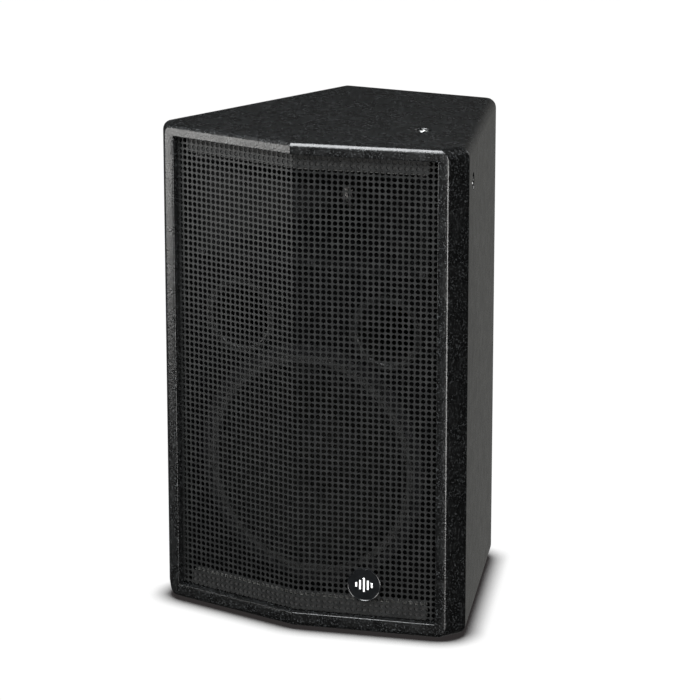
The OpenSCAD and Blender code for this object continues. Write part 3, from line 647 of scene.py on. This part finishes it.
def flex_across(obj, body, middle_z, outer_r, inner_r):
    """Blends a round suspension: its outer edge stays on the cabinet and its inner edge
    follows the moving body. The share is set by the radius, over the one that bake_transform() gives."""
    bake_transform(obj, "cabinet", body, start=(0, 0, middle_z), end=(0, 0.01, middle_z))
    shares = obj.data.attributes["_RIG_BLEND"].data
    for vertex, share in zip(obj.data.vertices, shares):
        r = math.hypot(vertex.co.x, vertex.co.z - middle_z)
        t = min(1, max(0, (outer_r - r) / (outer_r - inner_r)))
        share.value = t * t * (3 - 2 * t)


# ---------------------------------------------------------------------------
# Wadding
# ---------------------------------------------------------------------------
def wadding_pads():
    """Soft pads inside the CAD pads: rounded, then ruffled by a fixed wave pattern."""
    voxel, ruffle, shrink = 0.006, 0.0009, 0.0010
    bm = bmesh.new()
    bm.from_mesh(frame["nodes"]["wadding"].data)
    bmesh.ops.remove_doubles(bm, verts=bm.verts, dist=1e-5)
    mesh = bpy.data.meshes.new("pads")
    bm.to_mesh(mesh)
    bm.free()
    obj = linked_object("wadding_pads", mesh)
    remesh = obj.modifiers.new("remesh", "REMESH")
    remesh.mode = "VOXEL"
    remesh.voxel_size = voxel
    smooth = obj.modifiers.new("smooth", "SMOOTH")
    smooth.factor = 0.7
    smooth.iterations = 6
    apply_modifiers(obj)
    soft = obj.data
    for v in soft.vertices:
        x, y, z = v.co
        wave = (math.sin(210 * x + 3 * math.sin(90 * z)) + math.sin(190 * y + 70 * z)
                + math.sin(170 * z + 2 * math.sin(120 * y))) / 3
        v.co += v.normal * (ruffle * wave - shrink)
    soft.polygons.foreach_set("use_smooth", [True] * len(soft.polygons))
    return obj


# ---------------------------------------------------------------------------
# Materials: one per slot of the record
# ---------------------------------------------------------------------------
def graph(name):
    """A new node material: itself, its tree, its shader and its object coordinates."""
    material = bpy.data.materials.new(name)
    material.use_nodes = True
    tree = material.node_tree
    shader = tree.nodes["Principled BSDF"]
    coordinates = tree.nodes.new("ShaderNodeTexCoord").outputs["Object"]
    return material, tree, shader, coordinates


def texture(tree, kind, coordinates, scale, **inputs):
    """A texture node of that kind, with any further inputs set by name."""
    node = tree.nodes.new(kind)
    tree.links.new(coordinates, node.inputs["Vector"])
    node.inputs["Scale"].default_value = scale
    for name, value in inputs.items():
        node.inputs[name].default_value = value
    return node


def colour_between(tree, factor, dark, light, low=0.3, high=0.7):
    """A colour that goes from dark to light as the factor goes from low to high."""
    ramp = tree.nodes.new("ShaderNodeValToRGB")
    ramp.color_ramp.elements[0].position = low
    ramp.color_ramp.elements[1].position = high
    ramp.color_ramp.elements[0].color = (*dark, 1)
    ramp.color_ramp.elements[1].color = (*light, 1)
    tree.links.new(factor, ramp.inputs["Fac"])
    return ramp.outputs["Color"]


def value_between(tree, factor, low, high):
    """A value that goes from low to high over the middle of the factor's range."""
    span = tree.nodes.new("ShaderNodeMapRange")
    span.inputs["From Min"].default_value = 0.3
    span.inputs["From Max"].default_value = 0.7
    span.inputs["To Min"].default_value = low
    span.inputs["To Max"].default_value = high
    tree.links.new(factor, span.inputs["Value"])
    return span.outputs["Result"]


def add_bump(tree, shader, height, distance, strength=1.0):
    """Adds a bump on top of any that the shader already has."""
    bump = tree.nodes.new("ShaderNodeBump")
    bump.inputs["Strength"].default_value = strength
    bump.inputs["Distance"].default_value = distance
    tree.links.new(height, bump.inputs["Height"])
    last = shader.inputs["Normal"].links
    if last:
        tree.links.new(last[0].from_socket, bump.inputs["Normal"])
    tree.links.new(bump.outputs["Normal"], shader.inputs["Normal"])


def shade(colour, factor):
    return tuple(min(1, c * factor) for c in colour)


def plain(slot, colour, rough=0.45, metal=0.0, grain=900.0, depth=0.00005, tone=0.2,
          specular=0.5, coat=0.0):
    """A moulded, cast or coated surface: mottled colour, uneven gloss and a fine grain."""
    material, tree, shader, coordinates = graph(slot)
    shader.inputs["Metallic"].default_value = metal
    shader.inputs["Specular IOR Level"].default_value = specular
    shader.inputs["Coat Weight"].default_value = coat
    cloud = texture(tree, "ShaderNodeTexNoise", coordinates, grain / 12, Detail=4.0)
    fine = texture(tree, "ShaderNodeTexNoise", coordinates, grain, Detail=3.0)
    tree.links.new(colour_between(tree, cloud.outputs["Fac"], shade(colour, 1 - tone),
                                  shade(colour, 1 + tone)), shader.inputs["Base Color"])
    tree.links.new(value_between(tree, cloud.outputs["Fac"], rough * 0.85, min(1, rough * 1.15)),
                   shader.inputs["Roughness"])
    add_bump(tree, shader, fine.outputs["Fac"], depth)
    return material


PAINT_COLOUR = (0.0032, 0.0034, 0.0035)


def speckled_paint(slot):
    """Sprayed texture paint: a close field of hard droplets, with a few sharper flecks whose lighter colour
    is a painted glint in place of the paint's sparkle.
    """
    material, tree, shader, coordinates = graph(slot)
    shader.inputs["Specular IOR Level"].default_value = 0.42
    droplets = texture(tree, "ShaderNodeTexVoronoi", coordinates, 430.0, Randomness=1.0)
    droplets.feature = "SMOOTH_F1"
    flecks_and_painted_glints = texture(tree, "ShaderNodeTexNoise", coordinates, 480.0, Detail=2.0, Roughness=0.7)
    cloud = texture(tree, "ShaderNodeTexNoise", coordinates, 60.0, Detail=5.0)
    # The flecks' lighter base colour is painted glint: sparkle put into the colour, not made by the lamps.
    tree.links.new(colour_between(tree, flecks_and_painted_glints.outputs["Fac"], shade(PAINT_COLOUR, 0.3),
                                  shade(PAINT_COLOUR, 12.0), 0.55, 0.70), shader.inputs["Base Color"])
    tree.links.new(value_between(tree, cloud.outputs["Fac"], 0.24, 0.32), shader.inputs["Roughness"])
    add_bump(tree, shader, droplets.outputs["Distance"], 0.00018, 1.0)
    add_bump(tree, shader, flecks_and_painted_glints.outputs["Fac"], 0.00022, 1.0)
    return material


def powder_coat(slot):
    """Fine textured coating on the steel sheet."""
    material, tree, shader, coordinates = graph(slot)
    shader.inputs["Specular IOR Level"].default_value = 0.16
    fine = texture(tree, "ShaderNodeTexNoise", coordinates, 1500.0, Detail=3.0)
    cloud = texture(tree, "ShaderNodeTexNoise", coordinates, 90.0, Detail=4.0)
    tree.links.new(colour_between(tree, cloud.outputs["Fac"], (0.0070, 0.0073, 0.0073),
                                  (0.0125, 0.0129, 0.0128)), shader.inputs["Base Color"])
    tree.links.new(value_between(tree, cloud.outputs["Fac"], 0.34, 0.44), shader.inputs["Roughness"])
    add_bump(tree, shader, fine.outputs["Fac"], 0.00012, 0.8)
    return material


def stretched(tree, coordinates, scale):
    mapping = tree.nodes.new("ShaderNodeMapping")
    mapping.inputs["Scale"].default_value = scale
    tree.links.new(coordinates, mapping.inputs["Vector"])
    return mapping.outputs["Vector"]


def ply(slot):
    """Raw birch ply: long grain with thin darker lines."""
    material, tree, shader, coordinates = graph(slot)
    grain = texture(tree, "ShaderNodeTexNoise", stretched(tree, coordinates, (0.12, 1, 1)), 260.0,
                    Detail=6.0, Distortion=0.6)
    plies = texture(tree, "ShaderNodeTexWave", coordinates, 110.0, Distortion=0.4)
    plies.bands_direction = "Z"
    tree.links.new(colour_between(tree, grain.outputs["Fac"], (0.36, 0.24, 0.12),
                                  (0.60, 0.45, 0.27)), shader.inputs["Base Color"])
    tree.links.new(value_between(tree, grain.outputs["Fac"], 0.6, 0.8), shader.inputs["Roughness"])
    add_bump(tree, shader, grain.outputs["Fac"], 0.00015)
    add_bump(tree, shader, plies.outputs["Fac"], 0.00005)
    return material


def fibres(slot, dark, light, rough=0.85, size=1400.0, depth=0.0002, specular=0.3):
    """Cloth, felt, paper or wadding: crossed fibres over a soft mottle."""
    material, tree, shader, coordinates = graph(slot)
    shader.inputs["Specular IOR Level"].default_value = specular
    weave = texture(tree, "ShaderNodeTexNoise", stretched(tree, coordinates, (1, 0.35, 1)), size,
                    Detail=4.0, Distortion=0.8)
    cross = texture(tree, "ShaderNodeTexNoise", stretched(tree, coordinates, (0.35, 1, 1)), size,
                    Detail=4.0, Distortion=0.8)
    tree.links.new(colour_between(tree, weave.outputs["Fac"], dark, light), shader.inputs["Base Color"])
    tree.links.new(value_between(tree, cross.outputs["Fac"], rough * 0.9, min(1, rough * 1.1)),
                   shader.inputs["Roughness"])
    add_bump(tree, shader, weave.outputs["Fac"], depth)
    add_bump(tree, shader, cross.outputs["Fac"], depth)
    return material


def cells(slot, dark, light, size=900.0):
    """Open-cell foam."""
    material, tree, shader, coordinates = graph(slot)
    pores = texture(tree, "ShaderNodeTexVoronoi", coordinates, size)
    tree.links.new(colour_between(tree, pores.outputs["Distance"], light, dark, 0.1, 0.7),
                   shader.inputs["Base Color"])
    shader.inputs["Roughness"].default_value = 0.95
    add_bump(tree, shader, pores.outputs["Distance"], 0.0006)
    return material


def windings(slot):
    """Enamelled copper wire, wound in close turns, with painted shade in the grooves between them."""
    material, tree, shader, coordinates = graph(slot)
    shader.inputs["Metallic"].default_value = 0.9
    turns_and_painted_groove_shade = texture(tree, "ShaderNodeTexWave", coordinates, 420.0, Distortion=0.2)
    turns_and_painted_groove_shade.bands_direction = "Y"
    # The colour darkens in the grooves between turns, where the bump is lowest: painted shade.
    tree.links.new(colour_between(tree, turns_and_painted_groove_shade.outputs["Fac"], (0.35, 0.12, 0.04), (0.80, 0.38, 0.16)),
                   shader.inputs["Base Color"])
    tree.links.new(value_between(tree, turns_and_painted_groove_shade.outputs["Fac"], 0.4, 0.25), shader.inputs["Roughness"])
    add_bump(tree, shader, turns_and_painted_groove_shade.outputs["Fac"], 0.0003)
    return material


def circuit(slot):
    """Green solder mask with copper tracks showing through as lighter lanes."""
    material, tree, shader, coordinates = graph(slot)
    lanes = texture(tree, "ShaderNodeTexBrick", coordinates, 40.0)
    lanes.inputs["Color1"].default_value = (0.010, 0.095, 0.030, 1)
    lanes.inputs["Color2"].default_value = (0.012, 0.120, 0.036, 1)
    lanes.inputs["Mortar"].default_value = (0.035, 0.220, 0.070, 1)
    tree.links.new(lanes.outputs["Color"], shader.inputs["Base Color"])
    gloss = texture(tree, "ShaderNodeTexNoise", coordinates, 200.0)
    tree.links.new(value_between(tree, gloss.outputs["Fac"], 0.22, 0.32), shader.inputs["Roughness"])
    return material


MATERIALS = {
    "paint": speckled_paint("paint"),
    "baffle_paint": plain("baffle_paint", (0.0015, 0.0015, 0.0016), 0.8, grain=1200, depth=0.0001,
                          specular=0.03),
    "plywood": ply("plywood"),
    "grey_paint": plain("grey_paint", (0.115, 0.115, 0.110), 0.7, grain=700, depth=0.00015),
    "foam": cells("foam", (0.003, 0.003, 0.003), (0.022, 0.022, 0.021)),
    "grille_steel": powder_coat("grille_steel"),
    "black_screw": plain("black_screw", (0.010, 0.010, 0.011), 0.45, 0.2, 1800, 0.00004),
    "badge_face": plain("badge_face", (0.004, 0.0045, 0.005), 0.2, grain=1500, depth=0.00001, coat=0.3),
    "bright_metal": plain("bright_metal", (0.86, 0.86, 0.85), 0.25, 0.25, 2500, 0.00001, 0.06),
    "cast_frame": plain("cast_frame", (0.006, 0.006, 0.0065), 0.5, grain=1500, depth=0.00012, specular=0.12),
    "treated_cloth": fibres("treated_cloth", (0.002, 0.002, 0.002), (0.005, 0.005, 0.005), 0.6, 2200,
                            0.0001, 0.06),
    "cone_paper": fibres("cone_paper", (0.002, 0.002, 0.002), (0.006, 0.006, 0.0055), 0.8, 1500,
                         0.0002, 0.05),
    "copper": windings("copper"),
    "spider_cloth": fibres("spider_cloth", (0.36, 0.24, 0.07), (0.60, 0.45, 0.18), 0.8, 2600, 0.0001),
    "plated_steel": plain("plated_steel", (0.46, 0.46, 0.45), 0.32, 1.0, 1100, 0.00003, 0.1),
    "ferrite": plain("ferrite", (0.030, 0.030, 0.034), 0.6, 0.2, 1600, 0.00008),
    "terminal_plastic": plain("terminal_plastic", (0.30, 0.03, 0.025), 0.4),
    "horn_plastic": plain("horn_plastic", (0.002, 0.002, 0.0022), 0.5, grain=1800, depth=0.00008,
                          specular=0.08),
    "titanium": plain("titanium", (0.22, 0.215, 0.21), 0.55, 1.0, 1400, 0.00002, 0.08),
    "port_plastic": plain("port_plastic", (0.005, 0.005, 0.005), 0.35, grain=1500, depth=0.00006,
                          specular=0.4),
    "circuit_board": circuit("circuit_board"),
    "nylon": plain("nylon", (0.72, 0.72, 0.67), 0.45, depth=0.00002, tone=0.05),
    "capacitor_film": plain("capacitor_film", (0.62, 0.46, 0.03), 0.3, grain=500, depth=0.00003, tone=0.08),
    "ceramic": plain("ceramic", (0.70, 0.66, 0.56), 0.8, grain=1500, depth=0.0002, tone=0.08),
    "plate_plastic": plain("plate_plastic", (0.014, 0.014, 0.014), 0.55, grain=1600, depth=0.00012),
    "socket_plastic": plain("socket_plastic", (0.012, 0.012, 0.013), 0.3, grain=1500, depth=0.00003),
    "wire_cover": plain("wire_cover", (0.30, 0.012, 0.010), 0.35, grain=900, depth=0.00003),
    "wadding_fibre": fibres("wadding_fibre", (0.58, 0.55, 0.47), (0.86, 0.84, 0.78), 0.95, 500, 0.0012),
    "zinc_steel": plain("zinc_steel", (0.45, 0.46, 0.45), 0.34, 1.0, 1300, 0.00003, 0.12),
    "socket_steel": plain("socket_steel", (0.014, 0.014, 0.014), 0.45, 0.2, 1500, 0.00006),
    "foot_rubber": plain("foot_rubber", (0.010, 0.010, 0.010), 0.8, grain=1400, depth=0.00012),
}


def dress(obj, slot):
    """Gives obj the slot's material and nothing else."""
    obj.data.materials.clear()
    obj.data.materials.append(MATERIALS[slot])


SLOT_OF = {part["node"]: part["material_slot"] for part in frame["record"]["subparts"]}
for node, obj in frame["nodes"].items():
    dress(obj, SLOT_OF[node])


def stands_for(obj, node, body="cabinet"):
    """obj replaces one CAD node, takes its finish and rides on its body. It has no body here
    if it is to be blended between two."""
    dress(obj, SLOT_OF[node])
    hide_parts(node)
    if body:
        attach(obj, body)
    return obj


# ---------------------------------------------------------------------------
# The pieces
# ---------------------------------------------------------------------------
POLE_PLACE = Vector((0, RIDGE_Y + 0.178, BASE_Z))
POLE_PLATE_R, POLE_PLATE_T, POLE_TUBE_R = 0.0505, 0.003, 0.0211


def pole_cutter():
    """The pole socket's seat and the hole for its tube."""
    profile = [(POLE_PLATE_R + 0.001, 0.001), (POLE_PLATE_R, -0.0005), (POLE_PLATE_R, -POLE_PLATE_T),
               (POLE_TUBE_R, -POLE_PLATE_T), (POLE_TUBE_R, -CUT_DEPTH)]
    return turned_cutter(profile, POLE_PLACE, (0, 0, -1))


def side_panel(name, side):
    obj = extruded(name, side_section(), BASE_TOP, TOP_UNDER, side)
    place, out = FLY_POINTS[2 if side > 0 else 3]
    return cut(obj, [fly_cutter(place, out)])


SPIDER_CLAMP_R, SPIDER_FREE_R = 0.068, 0.035
CLAMP_BAND, DIAPHRAGM_R = 0.0085, 0.0228

top = cut(panel_solid("top_shell", TOP_Z, TOP_UNDER), [fly_cutter(*FLY_POINTS[0])])
stands_for(top, "top_panel")
bottom = cut(panel_solid("bottom_shell", BASE_Z, BASE_TOP), [fly_cutter(*FLY_POINTS[1]), pole_cutter()])
stands_for(bottom, "bottom_panel")
for label, side in (("right", 1), ("left", -1)):
    stands_for(side_panel(label + "_side", side), label + "_side_panel")
    stands_for(extruded(label + "_post", post_section(), BASE_TOP, TOP_UNDER, side), label + "_front_post")
stands_for(fly_inserts(), "fly_point_inserts")
stands_for(grille_sheet(), "grille")
stands_for(badge_disc(), "badge")
stands_for(badge_bars(), "badge_emblem")
stands_for(horn(), "horn_flare")
stands_for(cone(), "woofer_cone", "woofer_cone_assembly")
roll = stands_for(surround(), "woofer_surround", None)
flex_across(roll, "woofer_cone_assembly", WOOFER_Z, SURROUND_R - SURROUND_GLUE, CONE_OUT_R)
web = stands_for(spider(), "woofer_spider", None)
flex_across(web, "woofer_cone_assembly", WOOFER_Z, SPIDER_CLAMP_R, SPIDER_FREE_R)
ring = stands_for(tweeter_suspension(), "hf_suspension", None)
flex_across(ring, "tweeter_diaphragm", HORN_Z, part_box("driver_clamp_ring")[1].x - CLAMP_BAND, DIAPHRAGM_R)
pads = stands_for(wadding_pads(), "wadding")

# ---------------------------------------------------------------------------
# Floor, light and camera
# ---------------------------------------------------------------------------
VIEW_AZIMUTH = math.radians(25.654)
VIEW_ELEVATION = math.radians(15.058)
VIEW_DISTANCE = 4.15
VIEW_TARGET = Vector((0.0554, RIDGE_Y + 0.0535, 0.3572))
SENSOR = 36.0
LENS = 172.27
PAINTED_SHADOW_REACH = 0.032
MIDDLE = Vector((0, 0, (LOW.z + HIGH.z) / 2))


def floor():
    """A plain pale floor that glows evenly, with a painted contact shadow near the object, curving up far
    behind into a wall.
    """
    turn, reach, near, wall_top, half_width, steps = 3.0, 6.0, -12.0, 12.0, 14.0, 24
    profile = [(near, 0.0), (reach, 0.0)]
    profile += [(reach + turn * math.sin(math.pi / 2 * k / steps),
                 turn * (1 - math.cos(math.pi / 2 * k / steps))) for k in range(1, steps + 1)]
    profile.append((reach + turn, wall_top))
    bm = bmesh.new()
    rows = [[bm.verts.new((x, y, z)) for x in (-half_width, half_width)] for y, z in profile]
    for a, b in zip(rows, rows[1:]):
        bm.faces.new((a[0], a[1], b[1], b[0]))
    obj = new_object("floor", bm)
    material, tree, shader, coordinates = graph("floor_paper")
    # The floor takes no light from the lamps. It glows, and its contact shadow is painted shade: ambient
    # occlusion darkens the glow where the object is near.
    painted_contact_shadow = tree.nodes.new("ShaderNodeAmbientOcclusion")
    painted_contact_shadow.samples = 16
    painted_contact_shadow.inputs["Distance"].default_value = PAINTED_SHADOW_REACH
    tone = texture(tree, "ShaderNodeTexNoise", coordinates, 3.0, Detail=3.0)
    tree.links.new(colour_between(tree, tone.outputs["Fac"], (0.99, 0.99, 0.99), (1.0, 1.0, 1.0)),
                   painted_contact_shadow.inputs["Color"])
    shade_ramp = tree.nodes.new("ShaderNodeValToRGB")
    shade_ramp.color_ramp.elements[0].position = 0.50
    shade_ramp.color_ramp.elements[0].color = (0.03, 0.027, 0.027, 1)
    shade_ramp.color_ramp.elements[1].position = 0.97
    shade_ramp.color_ramp.elements[1].color = (1, 1, 1, 1)
    tree.links.new(painted_contact_shadow.outputs["AO"], shade_ramp.inputs["Fac"])
    shader.inputs["Base Color"].default_value = (0.0, 0.0, 0.0, 1)
    shader.inputs["Roughness"].default_value = 1.0
    shader.inputs["Specular IOR Level"].default_value = 0.0
    tree.links.new(shade_ramp.outputs["Color"], shader.inputs["Emission Color"])
    shader.inputs["Emission Strength"].default_value = 1.02
    obj.data.materials.append(material)
    obj.visible_glossy = False
    obj.visible_diffuse = False
    obj.visible_shadow = False


def around(azimuth, elevation, distance):
    """A point round the middle of the object: azimuth 0 is in front, positive to the right."""
    a, e = math.radians(azimuth), math.radians(elevation)
    return MIDDLE + Vector((math.sin(a) * math.cos(e), -math.cos(a) * math.cos(e),
                            math.sin(e))) * distance


def area_light(name, place, target, width, height, power, colour=(1, 1, 1)):
    """A soft rectangular lamp that faces the target."""
    data = bpy.data.lights.new(name, "AREA")
    data.shape = "RECTANGLE"
    data.size, data.size_y = width, height
    data.energy = power
    data.color = colour
    obj = linked_object(name, data)
    obj.location = place
    obj.rotation_euler = (Vector(target) - Vector(place)).to_track_quat("-Z", "Y").to_euler()


def studio_world():
    """Soft surroundings: dim all round, brighter low behind the object."""
    world = bpy.data.worlds.new("studio")
    bpy.context.scene.world = world
    world.use_nodes = True
    tree = world.node_tree
    background = tree.nodes["Background"]
    direction = tree.nodes.new("ShaderNodeTexCoord").outputs["Generated"]
    towards = tree.nodes.new("ShaderNodeVectorMath")
    towards.operation = "DOT_PRODUCT"
    towards.inputs[1].default_value = (0.0, 0.95, -0.31)
    tree.links.new(direction, towards.inputs[0])
    ramp = tree.nodes.new("ShaderNodeValToRGB")
    ramp.color_ramp.elements[0].position = 0.80
    ramp.color_ramp.elements[0].color = (0.034, 0.034, 0.034, 1)
    ramp.color_ramp.elements[1].position = 1.0
    ramp.color_ramp.elements[1].color = (0.25, 0.25, 0.24, 1)
    tree.links.new(towards.outputs["Value"], ramp.inputs["Fac"])
    tree.links.new(ramp.outputs["Color"], background.inputs["Color"])
    background.inputs["Strength"].default_value = 1.0


def camera():
    data = bpy.data.cameras.new("camera")
    data.sensor_width = SENSOR
    data.lens = LENS
    data.clip_end = 100
    obj = linked_object("camera", data)
    back = Vector((math.sin(VIEW_AZIMUTH) * math.cos(VIEW_ELEVATION),
                   -math.cos(VIEW_AZIMUTH) * math.cos(VIEW_ELEVATION), math.sin(VIEW_ELEVATION)))
    obj.location = VIEW_TARGET + back * VIEW_DISTANCE
    obj.rotation_euler = (-back).to_track_quat("-Z", "Y").to_euler()
    bpy.context.scene.camera = obj


floor()
studio_world()
area_light("key", around(-50, 5, 2.0), MIDDLE + Vector((0, 0, 0.15)), 0.85, 0.85, 22, (1.0, 0.99, 0.97))
area_light("overhead", around(-14, 60, 1.6), MIDDLE + Vector((0, 0, 0.3)), 0.8, 1.7, 92, (0.96, 0.98, 1.0))
area_light("edge", around(34, -6, 1.8), MIDDLE + Vector((0, 0, 0.08)), 0.7, 1.0, 38, (1.0, 0.99, 0.98))
area_light("behind", around(140, 32, 2.6), MIDDLE, 1.2, 1.2, 26)
camera()
bpy.context.scene.view_settings.view_transform = "Standard"
bpy.context.scene.view_settings.look = "None"
